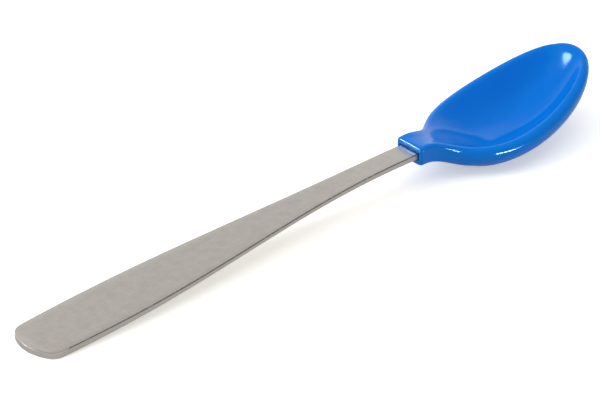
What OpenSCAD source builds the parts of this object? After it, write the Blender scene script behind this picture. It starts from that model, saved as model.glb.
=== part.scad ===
// Baby spoon: a stamped steel handle with a plastic bowl moulded over its tang.
// It lies as it does on a table: the handle's round end and the underside of the bowl touch z = 0.
// X runs from the handle's end to the tip of the bowl, and the origin is under the middle of the spoon.

/* [Handle] */
// Length of the steel that shows, from the round end to the collar
handle_l = 100; // [85:1:130]
// Greatest width of the handle
grip_w = 13.8; // [11:0.1:17]
// Distance of the greatest width from the round end
grip_x = 18; // [12:1:30]
// Width that the sides run out to at the round end
end_w = 13; // [10:0.1:13.6]
// Radius of the round end
end_r = 10; // [9:0.5:30]
// Radius of the two corners of the round end
corner_r = 3; // [1:0.1:5]
// Width of the neck and of the tang
neck_w = 5.4; // [4:0.1:5.7]
// Straight length of the neck in front of the collar
neck_l = 6; // [2:0.5:20]
// Thickness at the round end
end_t = 1.4; // [1:0.05:2]
// Thickness at the thinnest place
waist_t = 0.95; // [0.7:0.05:1.4]
// Distance of the thinnest place from the round end
waist_x = 60; // [30:1:80]
// Thickness of the neck
neck_t = 1.2; // [0.9:0.05:1.6]
// Height of the neck's upper face above the table
neck_h = 7.5; // [6:0.1:10]
// Length of the level end that lies on the table
rest_l = 2; // [1.5:0.1:6]

/* [Tang and socket] */
// Depth that the tang reaches into the collar
tang_l = 6; // [4.5:0.1:6.4]
// Thickness of the tang, which is pressed thinner than the neck and keeps its lower face
tang_t = 0.8; // [0.5:0.05:0.9]
// Diameter of the anchor hole in the tang
anchor_d = 2; // [1:0.1:2.6]
// Distance of the anchor hole from the collar's end face
anchor_x = 3.5; // [2.8:0.1:4]
// Gap left round the tang and its anchor hole as the plastic shrinks
fit_gap = 0.05; // [0.02:0.01:0.15]
// Gap round the neck in the mouth of the collar
mouth_gap = 0.2; // [0.15:0.05:0.4]
// Depth of that mouth
mouth_depth = 0.3; // [0.2:0.1:1.5]

/* [Collar] */
// Width of the collar
collar_w = 7.6; // [7.4:0.1:9]
// Straight length of the collar
collar_l = 1.3; // [1.2:0.1:3]
// Height of the rim's line above the neck at the collar
collar_over = 1.75; // [1.65:0.05:3]
// Depth of the collar's bottom below the neck
collar_under = 1.5; // [1.4:0.05:3]
// Rounding of the collar's long edges
collar_r = 1.05; // [0.3:0.05:1.1]
// Rounding round the collar's end face
face_r = 0.5; // [0.2:0.05:0.75]

/* [Bowl] */
// Length from the collar's end face to the tip
head_l = 47.5; // [42:0.1:60]
// Greatest width of the bowl
bowl_w = 25.2; // [20:0.1:32]
// Distance of the greatest width from the collar's end face
bowl_x = 25; // [22:0.2:30]
// How long the outline keeps the collar's direction as it flares
flare_l = 10.4; // [4:0.2:12]
// How long the flare keeps the bowl's direction before the greatest width
shoulder_l = 15; // [8:0.5:16]
// How long the outline keeps its direction after the greatest width
cheek_l = 8; // [4:0.5:14]
// How far the outline runs square to the spoon on each side of the tip
tip_w = 9.2; // [5:0.2:12]
// Radius of the rounded rim
rim_r = 1.8; // [1.2:0.1:2]
// Distance from the outer edge to the inside of the bowl
rim_w = 2.2; // [1.8:0.1:3]
// Rounding of the rim's inner edge
rim_blend = 0.6; // [0.3:0.1:1.2]
// Height of the rim's line at its lowest place, beside the collar
dip_h = 6.5; // [5.5:0.1:8]
// Distance of that place from the collar's end face
dip_x = 13; // [11:0.5:16]
// Height that the rim's line climbs to at the tip
tip_h = 15.6; // [11:0.1:18]
// Distance of the lowest place of the underside from the collar's end face
low_x = 16; // [14:0.5:20]
// Height of the inner floor above the table
floor_h = 2.5; // [1.8:0.1:3.2]
// Distance of the lowest place of the inside from the collar's end face
dish_x = 21.5; // [19:0.5:24]

/* [Hidden] */

// How the curves are shaped: the rise of the rim, of the inside towards the tip and of the inner walls, and the
// roundness of the underside along the spoon and across it (2 is an ellipse, more is squarer)
rim_power = 1.75;
climb_power = 2.3;
wall_power = 2.8;
nose_power = 2;
bowl_power = 2.15;
collar_power = 7.5;

// Steps along each curve
arc_steps = 8;
taper_steps = 32;
profile_steps = 40;
fillet_steps = 4;
collar_steps = 3;
flare_steps = 18;
cheek_steps = 26;
half_steps = 28;

spoon_l = handle_l + head_l;
neck_bottom = neck_h - neck_t;
collar_top = neck_h + collar_over;
collar_bottom = neck_bottom - collar_under;
tip_edge_h = tip_h - rim_r;
// Smallest number that keeps a quotient finite
tiny = 0.000001;

function mix(a, b, t) = a + (b - a) * t;
function clamp(t) = min(max(t, 0), 1);
// Smooth step from 0 to 1 with level ends
function ease(t) = (1 - cos(180 * clamp(t))) / 2;
// Lower of two heights, with the crossing rounded
function soft_min(a, b, k) = (a + b - sqrt((a - b) * (a - b) + k * k)) / 2;
function bezier(p, t) =
    p[0] * pow(1 - t, 3) + 3 * p[1] * t * pow(1 - t, 2) + 3 * p[2] * t * t * (1 - t) + p[3] * pow(t, 3);
function bezier_slope(p, t) =
    3 * ((p[1] - p[0]) * pow(1 - t, 2) + 2 * (p[2] - p[1]) * t * (1 - t) + (p[3] - p[2]) * t * t);

// Handle, seen from above: half of the width at x, and the round end as two arcs
taper_end = handle_l - neck_l;
function grip_half(x) =
    x < grip_x
        ? mix(grip_w, end_w, pow(1 - x / grip_x, 2)) / 2
        : mix(grip_w, neck_w, ease((x - grip_x) / (taper_end - grip_x))) / 2;
end_half = grip_half(corner_r);
corner_x = end_r - sqrt(pow(end_r - corner_r, 2) - pow(end_half - corner_r, 2));
end_angle = atan2(end_half - corner_r, end_r - corner_x);
end_arc = [for (i = [0:arc_steps - 1])
    let (a = end_angle * i / arc_steps)
    [end_r - end_r * cos(a), end_r * sin(a)]];
corner_arc = [for (i = [0:arc_steps])
    let (a = mix(end_angle, 90, i / arc_steps))
    [corner_x - corner_r * cos(a), end_half - corner_r + corner_r * sin(a)]];
sides = [for (i = [1:taper_steps])
    let (x = mix(corner_x, taper_end, i / taper_steps))
    [x, grip_half(x)]];
tang_end = [[handle_l + tang_l, neck_w / 2]];
plan_half = concat(end_arc, corner_arc, sides, tang_end);
plan_other = [for (i = [len(plan_half) - 1:-1:1]) [plan_half[i][0], -plan_half[i][1]]];

// Handle, seen from the side: it is level at the end, climbs to the neck and is level there again
function upper_h(x) =
    let (u = clamp((x - rest_l) / (handle_l - rest_l)))
    mix(end_t, neck_h, u + pow(u, 3) - pow(u, 4));
function plate_t(x) =
    x < waist_x
        ? mix(end_t, waist_t, ease((x - rest_l) / (waist_x - rest_l)))
        : mix(waist_t, neck_t, ease((x - waist_x) / (handle_l - waist_x)));
profile_x = concat([0], [for (i = [0:profile_steps]) mix(rest_l, handle_l, i / profile_steps)]);
profile_upper = [for (x = profile_x) [x, upper_h(x)]];
profile_lower = [for (i = [len(profile_x) - 1:-1:0])
    [profile_x[i], upper_h(profile_x[i]) - plate_t(profile_x[i])]];
tang_step = handle_l + mouth_depth - fit_gap;
profile_tang = [
    [tang_step, neck_h],
    [tang_step, neck_bottom + tang_t],
    [handle_l + tang_l, neck_bottom + tang_t],
    [handle_l + tang_l, neck_bottom]
];

// Head, measured from the collar's end face: rim, underside and their roundings at x
function rim_h(x) =
    x < dip_x
        ? mix(collar_top, dip_h, ease((x - collar_l) / (dip_x - collar_l)))
        : mix(dip_h, tip_h, pow((x - dip_x) / (head_l - dip_x), rim_power));
function round_r(x) = mix(collar_r, rim_r, ease((x - collar_l) / (dip_x - collar_l)));
function edge_h(x) = rim_h(x) - round_r(x);
function keel_h(x) =
    x < low_x
        ? collar_bottom * (1 - ease((x - collar_l) / (low_x - collar_l)))
        : let (v = clamp((x - low_x) / (head_l - low_x)))
          tip_edge_h * (1 - pow(1 - pow(v, nose_power), 1 / nose_power));
function section_power(x) = mix(collar_power, bowl_power, ease((x - collar_l) / (dip_x - collar_l)));

// Rim at x, y, rounded by the distance from the outer edge
function rim_top(x, y, half, spread) =
    let (
        r = round_r(x),
        edge = min((half * half - y * y) / (sqrt(4 * y * y + spread * spread) + tiny), r)
    )
    edge_h(x) + sqrt(max(edge * (2 * r - edge), 0));
// Inside along the middle: a ramp from the collar down to the floor, and a climb to the tip
function bed_h(x) =
    x < dish_x
        ? mix(collar_top, floor_h, ease(x / dish_x))
        : mix(floor_h, rim_h(x), pow((x - dish_x) / (head_l - rim_w - dish_x), climb_power));
// Inside at x, y, with the walls held finite where the rim leaves no room between them
function dish_top(x, y, half) =
    let (side = min(abs(y) / max(half - rim_w, tiny), 4))
    bed_h(x) + max(rim_h(x) - bed_h(x), 0) * pow(side, wall_power);
function head_top(x, y, half, spread) =
    y * y >= half * half - tiny
        ? edge_h(x)
        : soft_min(rim_top(x, y, half, spread), dish_top(x, y, half), rim_blend);
function head_bottom(x, y, half) =
    let (n = section_power(x))
    mix(edge_h(x), keel_h(x), pow(max(1 - pow(abs(y) / half, n), 0), 1 / n));

// Cross-sections: x, half of the width, slope of its square, and how far the end fillet draws the section in
flare_x = [collar_l, collar_l + flare_l, bowl_x - shoulder_l, bowl_x];
flare_y = [collar_w, collar_w, bowl_w, bowl_w] / 2;
cheek_x = [bowl_x, bowl_x + cheek_l, head_l, head_l];
cheek_y = [bowl_w / 2, bowl_w / 2, tip_w, 0];
function curve_station(px, py, t) =
    let (half = bezier(py, t))
    [bezier(px, t), half, 2 * half * bezier_slope(py, t) / bezier_slope(px, t), 0];
stations = concat(
    [for (i = [0:fillet_steps - 1])
        let (a = 90 * i / fillet_steps)
        [face_r * (1 - cos(a)), collar_w / 2, 0, face_r * (1 - sin(a))]],
    [for (i = [0:collar_steps - 1])
        [mix(face_r, collar_l, i / collar_steps), collar_w / 2, 0, 0]],
    [for (i = [0:flare_steps - 1]) curve_station(flare_x, flare_y, i / flare_steps)],
    [for (i = [0:cheek_steps - 1]) curve_station(cheek_x, cheek_y, i / cheek_steps)]
);

// One closed ring of points for each cross-section, over the top and back underneath
function ring(s) =
    let (x = s[0], half = s[1], inset = s[3], shrink = 1 - inset / half)
    concat(
        [for (j = [0:half_steps])
            let (y = half * cos(180 * j / half_steps))
            [x, y * shrink, head_top(x, y, half, s[2]) - inset]],
        [for (j = [1:half_steps - 1])
            let (y = -half * cos(180 * j / half_steps))
            [x, y * shrink, head_bottom(x, y, half) + inset]]
    );
ring_n = 2 * half_steps;
ring_count = len(stations);
head_points = concat(
    [for (s = stations) each ring(s)],
    [[head_l, 0, tip_edge_h], [0, 0, (collar_top + collar_bottom) / 2]]
);
tip_point = ring_n * ring_count;
face_point = tip_point + 1;
head_faces = concat(
    [for (i = [0:ring_count - 2], j = [0:ring_n - 1])
        let (a = i * ring_n + j, b = i * ring_n + (j + 1) % ring_n)
        each [[b, a, a + ring_n], [b + ring_n, b, a + ring_n]]],
    [for (j = [0:ring_n - 1])
        [(ring_count - 1) * ring_n + (j + 1) % ring_n, (ring_count - 1) * ring_n + j, tip_point]],
    [for (j = [0:ring_n - 1]) [j, (j + 1) % ring_n, face_point]]
);

// Space for steel of thickness t, grown by a gap on every side and opened through the collar's end face
module steel_space(depth, t, gap) {
    translate([-depth, -neck_w / 2 - gap, neck_bottom - gap])
        cube([2 * depth, neck_w + 2 * gap, t + 2 * gap]);
}

// Anchor hole, or the key of plastic that fills it
module anchor(d) {
    translate([anchor_x, 0, neck_bottom - tang_t])
        cylinder(d = d, h = 3 * tang_t, $fn = 48);
}

module steel_handle() {
    color([0.7, 0.68, 0.66])
        translate([-spoon_l / 2, 0, 0])
            difference() {
                intersection() {
                    linear_extrude(collar_top)
                        polygon(concat(plan_half, plan_other));
                    rotate([90, 0, 0])
                        linear_extrude(2 * grip_w, center = true)
                            polygon(concat(profile_upper, profile_tang, profile_lower));
                }
                translate([handle_l, 0, 0])
                    anchor(anchor_d);
            }
}

module moulded_bowl() {
    color([0.02, 0.42, 0.83])
        translate([handle_l - spoon_l / 2, 0, 0])
            difference() {
                polyhedron(head_points, head_faces, convexity = 6);
                difference() {
                    steel_space(tang_l + fit_gap, tang_t, fit_gap);
                    anchor(anchor_d - 2 * fit_gap);
                }
                steel_space(mouth_depth, neck_t, mouth_gap);
            }
}

steel_handle();
moulded_bowl();
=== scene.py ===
"""Looks of a baby spoon: a satin steel handle and a glossy blue bowl moulded over its tang."""

import math

import bpy
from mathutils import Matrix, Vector


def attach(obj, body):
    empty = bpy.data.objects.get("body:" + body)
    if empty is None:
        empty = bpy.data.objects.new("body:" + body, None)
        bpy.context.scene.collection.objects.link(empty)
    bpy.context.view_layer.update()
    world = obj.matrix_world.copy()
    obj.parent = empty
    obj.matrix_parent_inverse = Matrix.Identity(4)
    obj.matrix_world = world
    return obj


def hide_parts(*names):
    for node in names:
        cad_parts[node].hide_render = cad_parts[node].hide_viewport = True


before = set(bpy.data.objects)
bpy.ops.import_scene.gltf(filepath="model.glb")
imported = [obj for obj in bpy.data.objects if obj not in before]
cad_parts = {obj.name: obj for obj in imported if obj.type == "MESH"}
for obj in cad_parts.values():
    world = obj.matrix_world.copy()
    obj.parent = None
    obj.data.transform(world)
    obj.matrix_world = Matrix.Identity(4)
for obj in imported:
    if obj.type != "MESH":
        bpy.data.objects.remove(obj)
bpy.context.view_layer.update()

MM = 0.001
HAIR = 1e-6

# Sizes of the handle, in millimetres, with x from its round end
HANDLE_L = 100.0
GRIP_W, GRIP_X, END_W, END_R, CORNER_R = 13.8, 18.0, 13.0, 10.0, 3.0
NECK_W, NECK_L, NECK_T, NECK_H = 5.4, 6.0, 1.2, 7.5
END_T, WAIST_T, WAIST_X, REST_L = 1.4, 0.95, 60.0, 2.0
TANG_L, TANG_T = 6.0, 0.8

# Small roundings of the sheared edges, and where the painted dark line along the upper one begins
UPPER_EDGE_R, LOWER_EDGE_R, LINE_X = 0.18, 0.15, 5.0

# Sizes of the collar and the bowl, with x from the collar's end face
HEAD_L = 47.5
MOUTH_GAP, MOUTH_DEPTH, FIT_GAP = 0.2, 0.3, 0.05
COLLAR_W, COLLAR_L, COLLAR_OVER, COLLAR_UNDER = 7.6, 1.3, 1.75, 1.5
COLLAR_R, FACE_R = 1.05, 0.5
BOWL_W, BOWL_X, FLARE_L, SHOULDER_L, CHEEK_L, TIP_W = 25.2, 25.0, 10.4, 15.0, 8.0, 9.2
RIM_R, RIM_W, RIM_BLEND = 1.8, 2.2, 0.6
DIP_H, DIP_X, TIP_H, LOW_X = 6.5, 13.0, 15.6, 16.0
FLOOR_H, DISH_X = 2.5, 21.5
RIM_POWER, CLIMB_POWER, WALL_POWER, WALL_CAP = 1.75, 2.3, 2.8, 4.0
NOSE_POWER, BOWL_POWER, COLLAR_POWER = 2.0, 2.15, 7.5

SPOON_L = HANDLE_L + HEAD_L
NECK_BOTTOM = NECK_H - NECK_T
COLLAR_TOP = NECK_H + COLLAR_OVER
COLLAR_BOTTOM = NECK_BOTTOM - COLLAR_UNDER
TIP_EDGE_H = TIP_H - RIM_R

# Where the plate steps down to the tang, inside the mouth, and the length of that step
TANG_STEP = HANDLE_L + MOUTH_DEPTH - FIT_GAP
STEP_RUN = 0.02


def mix(a, b, t):
    return a + (b - a) * t


def clamp(t):
    return min(max(t, 0.0), 1.0)


def ease(t):
    """Smooth step from 0 to 1 with level ends."""
    return (1 - math.cos(math.pi * clamp(t))) / 2


def bezier(p, t):
    return p[0] * (1 - t) ** 3 + 3 * p[1] * t * (1 - t) ** 2 + 3 * p[2] * t * t * (1 - t) + p[3] * t ** 3


def bezier_slope(p, t):
    return 3 * ((p[1] - p[0]) * (1 - t) ** 2 + 2 * (p[2] - p[1]) * t * (1 - t) + (p[3] - p[2]) * t * t)


def spoon_mesh(name, points, faces, sharp_angle):
    """A mesh from points in millimetres, x from the handle's round end, set in the shared frame."""
    mesh = bpy.data.meshes.new(name)
    mesh.from_pydata([((x - SPOON_L / 2) * MM, y * MM, z * MM) for x, y, z in points], [], faces)
    mesh.validate()
    mesh.shade_smooth()
    mesh.set_sharp_from_angle(angle=math.radians(sharp_angle))
    piece = bpy.data.objects.new(name, mesh)
    bpy.context.scene.collection.objects.link(piece)
    return piece


# Steel handle

def grip_half(x):
    if x < GRIP_X:
        return mix(GRIP_W, END_W, (1 - x / GRIP_X) ** 2) / 2
    return mix(GRIP_W, NECK_W, ease((x - GRIP_X) / (HANDLE_L - NECK_L - GRIP_X))) / 2


def upper_h(x):
    u = clamp((x - REST_L) / (HANDLE_L - REST_L))
    return mix(END_T, NECK_H, u + u ** 3 - u ** 4)


def plate_t(x):
    if x < WAIST_X:
        return mix(END_T, WAIST_T, ease((x - REST_L) / (WAIST_X - REST_L)))
    return mix(WAIST_T, NECK_T, ease((x - WAIST_X) / (HANDLE_L - WAIST_X)))


def handle_side():
    """Half of the outline from the middle of the round end to the tang's end: x, y and the way inward."""
    end_steps, corner_steps, long_steps, reach = 28, 18, 200, 0.01
    half = grip_half(CORNER_R)
    corner_x = END_R - math.sqrt((END_R - CORNER_R) ** 2 - (half - CORNER_R) ** 2)
    end_angle = math.atan2(half - CORNER_R, END_R - corner_x)
    side = []
    for i in range(end_steps):
        a = end_angle * i / end_steps
        side.append((END_R - END_R * math.cos(a), END_R * math.sin(a), math.cos(a), -math.sin(a)))
    for i in range(corner_steps + 1):
        a = mix(end_angle, math.pi / 2, i / corner_steps)
        y = half - CORNER_R + CORNER_R * math.sin(a)
        side.append((corner_x - CORNER_R * math.cos(a), y, math.cos(a), -math.sin(a)))
    for i in range(1, long_steps + 1):
        x = mix(corner_x, HANDLE_L - NECK_L, i / long_steps)
        slope = (grip_half(x + reach) - grip_half(x - reach)) / (2 * reach)
        length = math.hypot(1, slope)
        side.append((x, grip_half(x), slope / length, -1 / length))
    for x in (HANDLE_L - NECK_L / 2, HANDLE_L, TANG_STEP - STEP_RUN, TANG_STEP, HANDLE_L + TANG_L):
        side.append((x, NECK_W / 2, 0.0, -1.0))
    return side


def handle_piece():
    """Plate with rounded edges: over the top, down the sheared side and back underneath. Gives the piece, the numbers
    of its sheared faces, and the numbers of the faces that carry the painted dark line along its upper edge."""
    arc, span = 6, 8

    def across(x0, y0, nx, ny):
        rows = []
        for k in range(arc + 1):
            a = math.pi / 2 * k / arc
            rows.append((UPPER_EDGE_R * (1 - math.sin(a)), UPPER_EDGE_R * (1 - math.cos(a)), True))
        for k in range(arc, -1, -1):
            a = math.pi / 2 * k / arc
            rows.append((LOWER_EDGE_R * (1 - math.sin(a)), LOWER_EDGE_R * (1 - math.cos(a)), False))
        out = []
        for inset, drop, upper in rows:
            x, y = x0 + nx * inset, max(y0 + ny * inset, 0.0)
            low = upper_h(x) - plate_t(x)
            high = upper_h(x) if x0 < TANG_STEP - STEP_RUN / 2 else NECK_BOTTOM + TANG_T
            out.append((x, y, high - drop if upper else low + drop))
        return out

    side = [across(*s) for s in handle_side()]
    rows = len(side[0])
    points, rings = [], []
    for wall in side:
        # One ring: left wall down, across underneath, right wall up, across the top
        ring = list(wall)
        x, y, z = wall[-1]
        ring += [(x, mix(y, -y, k / span), z) for k in range(1, span)]
        ring += [(px, -py, pz) for px, py, pz in reversed(wall)]
        x, y, z = wall[0]
        ring += [(x, mix(-y, y, k / span), z) for k in range(1, span)]
        rings.append([len(points) + k for k in range(len(ring))])
        points += ring
    faces, wall_faces, painted_line_faces = [], set(), set()
    count = len(rings[0])
    right_top = 2 * rows + span - 2
    for a, b in zip(rings, rings[1:]):
        for k in range(count):
            n = (k + 1) % count
            if arc <= k < rows - arc - 1 or rows + span - 1 + arc <= k < right_top - arc:
                wall_faces.add(len(faces))
            elif (k < arc or right_top - arc <= k < right_top) and points[a[0]][0] > LINE_X:
                painted_line_faces.add(len(faces))
            faces.append((a[k], a[n], b[n], b[k]))
    faces.append(tuple(rings[-1]))
    # The round end closes on the middle of its wall
    for k in range(rows - 1):
        left, right = rings[0][k], rings[0][right_top - k]
        faces.append((rings[0][k + 1], left, right, rings[0][right_top - 1 - k]))
    piece = spoon_mesh("handle_plate", points, faces, sharp_angle=50)
    return piece, wall_faces, painted_line_faces


# Moulded bowl

def rim_h(x):
    if x < DIP_X:
        return mix(COLLAR_TOP, DIP_H, ease((x - COLLAR_L) / (DIP_X - COLLAR_L)))
    return mix(DIP_H, TIP_H, ((x - DIP_X) / (HEAD_L - DIP_X)) ** RIM_POWER)


def round_r(x):
    return mix(COLLAR_R, RIM_R, ease((x - COLLAR_L) / (DIP_X - COLLAR_L)))


def edge_h(x):
    return rim_h(x) - round_r(x)


def keel_h(x):
    if x < LOW_X:
        return COLLAR_BOTTOM * (1 - ease((x - COLLAR_L) / (LOW_X - COLLAR_L)))
    v = clamp((x - LOW_X) / (HEAD_L - LOW_X))
    return TIP_EDGE_H * (1 - (1 - v ** NOSE_POWER) ** (1 / NOSE_POWER))


def dish_h(x, y, half):
    """Inside of the bowl: a ramp down from the collar, a floor that climbs to the tip, and a wall on each side."""
    if x < DISH_X:
        bed = mix(COLLAR_TOP, FLOOR_H, ease(x / DISH_X))
    else:
        bed = mix(FLOOR_H, rim_h(x), ((x - DISH_X) / (HEAD_L - RIM_W - DISH_X)) ** CLIMB_POWER)
    inner = max(half - RIM_W, HAIR)
    return bed + max(rim_h(x) - bed, 0.0) * min(abs(y) / inner, WALL_CAP) ** WALL_POWER


def head_top(x, y, half, spread):
    """Upper side: the rounded rim by the distance from the edge, and the dish inside it."""
    if y * y >= half * half - HAIR:
        return edge_h(x)
    r = round_r(x)
    edge = min((half * half - y * y) / (math.hypot(2 * y, spread) + HAIR), r)
    rim = edge_h(x) + math.sqrt(max(edge * (2 * r - edge), 0.0))
    dish = dish_h(x, y, half)
    return (rim + dish - math.hypot(rim - dish, RIM_BLEND)) / 2


def head_bottom(x, y, half):
    n = mix(COLLAR_POWER, BOWL_POWER, ease((x - COLLAR_L) / (DIP_X - COLLAR_L)))
    return mix(edge_h(x), keel_h(x), max(1 - (abs(y) / half) ** n, 0.0) ** (1 / n))


def head_stations():
    """Cross-sections: x, half of the width, slope of its square, and how far the end fillet draws it in."""
    fillet_steps, collar_steps, flare_steps, cheek_steps = 10, 4, 70, 110
    out = []
    for i in range(fillet_steps):
        a = math.pi / 2 * i / fillet_steps
        out.append((FACE_R * (1 - math.cos(a)), COLLAR_W / 2, 0.0, FACE_R * (1 - math.sin(a))))
    for i in range(collar_steps):
        out.append((mix(FACE_R, COLLAR_L, i / collar_steps), COLLAR_W / 2, 0.0, 0.0))
    flare_x = (COLLAR_L, COLLAR_L + FLARE_L, BOWL_X - SHOULDER_L, BOWL_X)
    flare_y = (COLLAR_W / 2, COLLAR_W / 2, BOWL_W / 2, BOWL_W / 2)
    cheek_x = (BOWL_X, BOWL_X + CHEEK_L, HEAD_L, HEAD_L)
    cheek_y = (BOWL_W / 2, BOWL_W / 2, TIP_W, 0.0)
    for px, py, steps in ((flare_x, flare_y, flare_steps), (cheek_x, cheek_y, cheek_steps)):
        for i in range(steps):
            t = i / steps
            half = bezier(py, t)
            out.append((bezier(px, t), half, 2 * half * bezier_slope(py, t) / bezier_slope(px, t), 0.0))
    return out


def bowl_piece():
    """Bowl and collar in one moulding, with the mouth that leaves the neck free at the collar's end face."""
    steps = 96

    def ring(x, half, spread, inset):
        shrink = 1 - inset / half
        out = []
        for j in range(steps + 1):
            y = half * math.cos(math.pi * j / steps)
            out.append((HANDLE_L + x, y * shrink, head_top(x, y, half, spread) - inset))
        for j in range(1, steps):
            y = -half * math.cos(math.pi * j / steps)
            out.append((HANDLE_L + x, y * shrink, head_bottom(x, y, half) + inset))
        return out

    head = [ring(*s) for s in head_stations()]
    middle_z = (NECK_H + NECK_BOTTOM) / 2

    def slot_ring(x, half_w, half_t):
        """Rectangle round the neck, each point on the same ray as its neighbour on the collar's end face."""
        out = []
        for _, y, z in head[0]:
            dz = z - middle_z
            s = min(half_w / max(abs(y), HAIR), half_t / max(abs(dz), HAIR))
            out.append((HANDLE_L + x, y * s, middle_z + dz * s))
        return out

    # The mouth's bottom is tucked into the steel, and its lip is bent over in two steps
    lip, tuck = 0.08, 0.1
    bend = 0.3 * lip
    half_w, half_t = NECK_W / 2 + MOUTH_GAP, NECK_T / 2 + MOUTH_GAP
    mouth = [
        slot_ring(MOUTH_DEPTH, NECK_W / 2 - tuck, NECK_T / 2 - tuck),
        slot_ring(MOUTH_DEPTH, half_w, half_t),
        slot_ring(lip, half_w, half_t),
        slot_ring(bend, half_w + bend, half_t + bend),
        slot_ring(0.0, half_w + lip, half_t + lip),
    ]
    rings = mouth + head
    count = len(rings[0])
    points = [p for r in rings for p in r]
    faces = []
    for i in range(len(rings) - 1):
        for j in range(count):
            a, b = i * count + j, i * count + (j + 1) % count
            faces.append((a, b, b + count, a + count))
    tip = len(points)
    points.append((SPOON_L, 0.0, TIP_EDGE_H))
    last = (len(rings) - 1) * count
    faces += [(last + j, last + (j + 1) % count, tip) for j in range(count)]
    return spoon_mesh("bowl_and_collar", points, faces, sharp_angle=45)


# Materials

def linear(hex_colour):
    """An sRGB hex colour as linear red, green, blue and alpha."""
    out = []
    for i in (1, 3, 5):
        c = int(hex_colour[i:i + 2], 16) / 255
        out.append(c / 12.92 if c <= 0.04045 else ((c + 0.055) / 1.055) ** 2.4)
    return out + [1.0]


def add_node(tree, kind, settings=None, **inputs):
    """One node with its settings, its input values and its links from other nodes' sockets. An input is named as in
    Blender, or by its number as i0, i1 and so on where names repeat."""
    node = tree.nodes.new(kind)
    for key, value in (settings or {}).items():
        setattr(node, key, value)
    for key, value in inputs.items():
        by_number = key[0] == "i" and key[1:].isdigit()
        socket = node.inputs[int(key[1:]) if by_number else key.replace("_", " ")]
        if isinstance(value, bpy.types.NodeSocket):
            tree.links.new(value, socket)
        else:
            socket.default_value = value
    return node


def new_material(name):
    material = bpy.data.materials.new(name)
    material.use_nodes = True
    material.node_tree.nodes.clear()
    return material, material.node_tree


def satin_steel():
    """Stainless sheet, rolled, stamped and tumbled: an even satin that spreads reflections, with a faint grain
    along the blank from the rolling and soft mottling from the tumbling."""
    material, tree = new_material("tumbled stainless steel")
    place = add_node(tree, "ShaderNodeTexCoord").outputs["Object"]
    # Rolling lines 0.15 mm apart and 6 mm long, drawn about three times as coarse as real ones so that they show
    lines = add_node(tree, "ShaderNodeMapping", Vector=place, Scale=(160.0, 6600.0, 6600.0))
    grain = add_node(tree, "ShaderNodeTexNoise", Vector=lines.outputs["Vector"], Scale=1.0, Detail=3.0)
    # Mottling with patches about 2 mm across and finer ones in them
    patches = add_node(tree, "ShaderNodeTexNoise", Vector=place, Scale=500.0, Detail=4.0, Roughness=0.65)
    gloss = add_node(tree, "ShaderNodeMapRange", Value=patches.outputs["Fac"], From_Min=0.3, From_Max=0.7,
                     To_Min=0.3, To_Max=0.36)
    dulled = add_node(tree, "ShaderNodeMix", {"data_type": "FLOAT"}, Factor=0.4, i2=patches.outputs["Fac"],
                      i3=grain.outputs["Fac"])
    wear = add_node(tree, "ShaderNodeMapRange", Value=dulled.outputs[0], From_Min=0.35, From_Max=0.65)
    tint = add_node(tree, "ShaderNodeMix", {"data_type": "RGBA"}, Factor=wear.outputs["Result"],
                    i6=linear("#d9d3cc"), i7=linear("#ebe4dd"))
    bump = add_node(tree, "ShaderNodeBump", Strength=0.12, Distance=0.00001, Height=grain.outputs["Fac"])
    steel = add_node(tree, "ShaderNodeBsdfPrincipled", Base_Color=tint.outputs[2], Metallic=1.0,
                     Roughness=gloss.outputs["Result"], Normal=bump.outputs["Normal"])
    add_node(tree, "ShaderNodeOutputMaterial", Surface=steel.outputs["BSDF"])
    return material


def sheared_steel_and_shade():
    """The sheared side of the blank: rougher than the faces, with fine streaks that the punch drew through the
    thickness. Its colour is darker than the faces', partly as a duller sheared surface and partly as painted shade on
    the sides."""
    material, tree = new_material("sheared stainless edge with painted shade")
    place = add_node(tree, "ShaderNodeTexCoord").outputs["Object"]
    # Streaks 0.25 mm apart that run the whole thickness
    streaks = add_node(tree, "ShaderNodeMapping", Vector=place, Scale=(4000.0, 4000.0, 300.0))
    grain = add_node(tree, "ShaderNodeTexNoise", Vector=streaks.outputs["Vector"], Scale=1.0, Detail=2.0)
    gloss = add_node(tree, "ShaderNodeMapRange", Value=grain.outputs["Fac"], From_Min=0.3, From_Max=0.7,
                     To_Min=0.38, To_Max=0.5)
    # Partly painted shade: both streak tones are darker than the faces' steel, for the duller sheared surface and for
    # the shade on the sides
    tint = add_node(tree, "ShaderNodeMix", {"data_type": "RGBA"}, Factor=grain.outputs["Fac"],
                    i6=linear("#b6b0aa"), i7=linear("#d0cac4"))
    bump = add_node(tree, "ShaderNodeBump", Strength=0.3, Distance=0.00002, Height=grain.outputs["Fac"])
    steel = add_node(tree, "ShaderNodeBsdfPrincipled", Base_Color=tint.outputs[2], Metallic=1.0,
                     Roughness=gloss.outputs["Result"], Normal=bump.outputs["Normal"])
    add_node(tree, "ShaderNodeOutputMaterial", Surface=steel.outputs["BSDF"])
    return material


def painted_edge_line():
    """The line along the upper edge: a painted dark reflection, dull, with small brighter spots in it."""
    material, tree = new_material("painted dark edge line")
    place = add_node(tree, "ShaderNodeTexCoord").outputs["Object"]
    # Brighter spots about 0.5 mm long
    bright_spots = add_node(tree, "ShaderNodeTexNoise", Vector=place, Scale=2000.0, Detail=2.0)
    gloss = add_node(tree, "ShaderNodeMapRange", Value=bright_spots.outputs["Fac"], From_Min=0.3, From_Max=0.7,
                     To_Min=0.45, To_Max=0.55)
    bright = add_node(tree, "ShaderNodeMapRange", Value=bright_spots.outputs["Fac"], From_Min=0.55, From_Max=0.7)
    # Painted dark reflection along the upper edge, with small brighter spots
    tint = add_node(tree, "ShaderNodeMix", {"data_type": "RGBA"}, Factor=bright.outputs["Result"],
                    i6=linear("#96908a"), i7=linear("#c8c2bc"))
    steel = add_node(tree, "ShaderNodeBsdfPrincipled", Base_Color=tint.outputs[2], Metallic=1.0,
                     Roughness=gloss.outputs["Result"])
    add_node(tree, "ShaderNodeOutputMaterial", Surface=steel.outputs["BSDF"])
    return material


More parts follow.
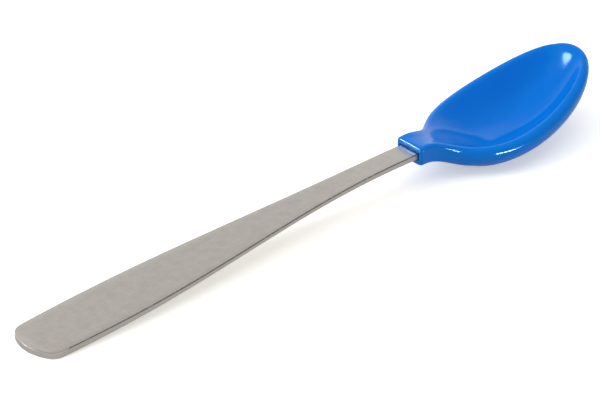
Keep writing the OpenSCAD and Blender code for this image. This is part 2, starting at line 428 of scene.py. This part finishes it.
def moulded_plastic():
    """Polypropylene from a polished mould: a clean gloss with highlights that waver a little over shrinkage waves,
    and a deep even blue."""
    material, tree = new_material("moulded polypropylene")
    place = add_node(tree, "ShaderNodeTexCoord").outputs["Object"]
    # Shrinkage waves about 7 mm long
    waves = add_node(tree, "ShaderNodeTexNoise", Vector=place, Scale=140.0, Detail=1.0)
    # Fine handling haze in patches of about 2.5 mm
    haze = add_node(tree, "ShaderNodeTexNoise", Vector=place, Scale=400.0, Detail=3.0)
    gloss = add_node(tree, "ShaderNodeMapRange", Value=haze.outputs["Fac"], From_Min=0.3, From_Max=0.7,
                     To_Min=0.1, To_Max=0.115)
    tint = add_node(tree, "ShaderNodeMix", {"data_type": "RGBA"}, Factor=waves.outputs["Fac"],
                    i6=linear("#007ae2"), i7=linear("#007ee6"))
    bump = add_node(tree, "ShaderNodeBump", Strength=0.06, Distance=0.0002, Height=waves.outputs["Fac"])
    # The blue is deeper than a screen can show. Bluish reflections and an IOR a little under the real 1.49 keep the
    # white surroundings from washing it out.
    plastic = add_node(tree, "ShaderNodeBsdfPrincipled", Base_Color=tint.outputs[2],
                       Roughness=gloss.outputs["Result"], IOR=1.45, Specular_Tint=(0.35, 0.65, 1.0, 1.0),
                       Normal=bump.outputs["Normal"])
    add_node(tree, "ShaderNodeOutputMaterial", Surface=plastic.outputs["BSDF"])
    return material


# Brightness of the table for the light that it throws on the spoon, and its lift for the camera and in reflections
TABLE_GREY, CAMERA_LIFT, MIRRORED_LIFT = 0.64, 0.42, 0.2
TABLE_WHITE = linear("#fffefa")


def white_table():
    """Matt white table: the camera sees it overexposed to white, so that only the shadow close to the spoon is left,
    and reflections show it a little brighter than the light on it makes it."""
    material, tree = new_material("matt white table")
    ray = add_node(tree, "ShaderNodeLightPath")
    mirrored = add_node(tree, "ShaderNodeMath", {"operation": "MULTIPLY"}, i0=ray.outputs["Is Glossy Ray"],
                        i1=MIRRORED_LIFT)
    lift = add_node(tree, "ShaderNodeMath", {"operation": "MULTIPLY_ADD"}, i0=ray.outputs["Is Camera Ray"],
                    i1=CAMERA_LIFT, i2=mirrored.outputs["Value"])
    paint = add_node(tree, "ShaderNodeMix", {"data_type": "RGBA"}, Factor=ray.outputs["Is Camera Ray"],
                     i6=(TABLE_GREY, TABLE_GREY, TABLE_GREY, 1.0), i7=TABLE_WHITE)
    matt = add_node(tree, "ShaderNodeBsdfDiffuse", Color=paint.outputs[2])
    glow = add_node(tree, "ShaderNodeEmission", Color=TABLE_WHITE, Strength=lift.outputs["Value"])
    both = add_node(tree, "ShaderNodeAddShader", i0=matt.outputs["BSDF"], i1=glow.outputs["Emission"])
    add_node(tree, "ShaderNodeOutputMaterial", Surface=both.outputs["Shader"])
    return material


# Pieces

handle, wall_faces, painted_line_faces = handle_piece()
for finish in (satin_steel(), sheared_steel_and_shade(), painted_edge_line()):
    handle.data.materials.append(finish)
# The sheared faces take the darker sheared steel, partly painted shade, and the faces along the upper edge take the
# painted dark reflection
for face in handle.data.polygons:
    face.material_index = 1 if face.index in wall_faces else 2 if face.index in painted_line_faces else 0
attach(handle, "root")
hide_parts("steel_handle")

bowl = bowl_piece()
bowl.data.materials.append(moulded_plastic())
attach(bowl, "root")
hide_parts("moulded_bowl")

# Table

TABLE_HALF = 4.0
table_mesh = bpy.data.meshes.new("table")
table_mesh.from_pydata([(-TABLE_HALF, -TABLE_HALF, 0), (TABLE_HALF, -TABLE_HALF, 0), (TABLE_HALF, TABLE_HALF, 0),
                        (-TABLE_HALF, TABLE_HALF, 0)], [], [(0, 1, 2, 3)])
table = bpy.data.objects.new("table", table_mesh)
bpy.context.scene.collection.objects.link(table)
table.data.materials.append(white_table())


# Light

def softbox(name, azimuth, elevation, width, height, power, distance=1.4, for_gloss=True, only_on=None):
    """A rectangular lamp that looks at the middle of the spoon. It gives either highlights or soft light without
    them. With only_on it falls on that piece alone, as behind a flag in a studio."""
    lamp = bpy.data.lights.new(name, "AREA")
    lamp.shape = "RECTANGLE"
    lamp.size, lamp.size_y, lamp.energy = width, height, power
    box = bpy.data.objects.new(name, lamp)
    bpy.context.scene.collection.objects.link(box)
    a, e = math.radians(azimuth), math.radians(elevation)
    box.location = Vector((math.cos(a) * math.cos(e), math.sin(a) * math.cos(e), math.sin(e))) * distance
    box.rotation_euler = box.location.to_track_quat("Z", "Y").to_euler()
    box.visible_camera = False
    box.visible_glossy = for_gloss
    box.visible_diffuse = not for_gloss
    if only_on:
        flagged = bpy.data.collections.new(name + " falls on")
        flagged.objects.link(only_on)
        box.light_linking.receiver_collection = flagged


# Soft light
softbox("overhead softbox", 0, 89.9, width=1.6, height=1.6, power=8.5, distance=1.5, for_gloss=False)
softbox("left fill", 150, 35, width=0.8, height=0.8, power=8.0, for_gloss=False)
softbox("front fill", -80, 6, width=0.8, height=0.8, power=4.0, for_gloss=False)

# Highlights: the tip, the handle's end, the collar's upper edge and the streaks on the rim
softbox("left softbox", 137, 24.5, width=0.3, height=0.22, power=6.0, only_on=bowl)
softbox("handle softbox", 137, 24.5, width=0.3, height=0.22, power=3.5, only_on=handle)
softbox("low strip", 137, 14, width=0.12, height=0.4, power=14.0, only_on=bowl)
softbox("right softbox", -90, 8, width=0.7, height=0.14, power=40.0, only_on=bowl)

# Dim room with a pale backdrop behind the table, which fades out between about 24 and 51 degrees above it
ROOM, BACKDROP = 0.45, 1.0
BACKDROP_WAY = (0.588, 0.809, 0.0)
world = bpy.data.worlds.new("studio")
bpy.context.scene.world = world
world.use_nodes = True
room = world.node_tree
room.nodes.clear()
way = add_node(room, "ShaderNodeTexCoord").outputs["Generated"]
height = add_node(room, "ShaderNodeSeparateXYZ", Vector=way).outputs["Z"]
low = add_node(room, "ShaderNodeMapRange", Value=height, From_Min=0.776, From_Max=0.4)
flat_way = add_node(room, "ShaderNodeVectorMath", {"operation": "MULTIPLY"}, i0=way, i1=(1.0, 1.0, 0.0))
level_way = add_node(room, "ShaderNodeVectorMath", {"operation": "NORMALIZE"}, i0=flat_way.outputs["Vector"])
facing = add_node(room, "ShaderNodeVectorMath", {"operation": "DOT_PRODUCT"}, i0=level_way.outputs["Vector"],
                  i1=BACKDROP_WAY)
behind = add_node(room, "ShaderNodeMapRange", {"interpolation_type": "SMOOTHSTEP"}, Value=facing.outputs["Value"],
                  From_Min=0.4, From_Max=0.55)
backdrop = add_node(room, "ShaderNodeMath", {"operation": "MULTIPLY"}, i0=low.outputs["Result"],
                    i1=behind.outputs["Result"])
level = add_node(room, "ShaderNodeMapRange", Value=backdrop.outputs["Value"], To_Min=ROOM, To_Max=BACKDROP)
ray = add_node(room, "ShaderNodeLightPath")
seen_level = add_node(room, "ShaderNodeMath", {"operation": "MAXIMUM"}, i0=level.outputs["Result"],
                      i1=ray.outputs["Is Camera Ray"])
sky = add_node(room, "ShaderNodeBackground", Strength=seen_level.outputs["Value"])
add_node(room, "ShaderNodeOutputWorld", Surface=sky.outputs["Background"])

# Camera, as the photograph was taken: 600 by 400 pixels, about 1 m away, looking down from the handle's end

camera_data = bpy.data.cameras.new("camera")
camera = bpy.data.objects.new("camera", camera_data)
bpy.context.scene.collection.objects.link(camera)
camera_data.sensor_width = 36.0
camera_data.lens = 295.5
camera_data.clip_start = 0.05
camera.location = (-0.5698, -0.63935, 0.49387)
camera.rotation_euler = (math.radians(90 - 29.689), 0.0, math.radians(-41.539))
bpy.context.scene.camera = camera

bpy.context.scene.view_settings.view_transform = "Standard"
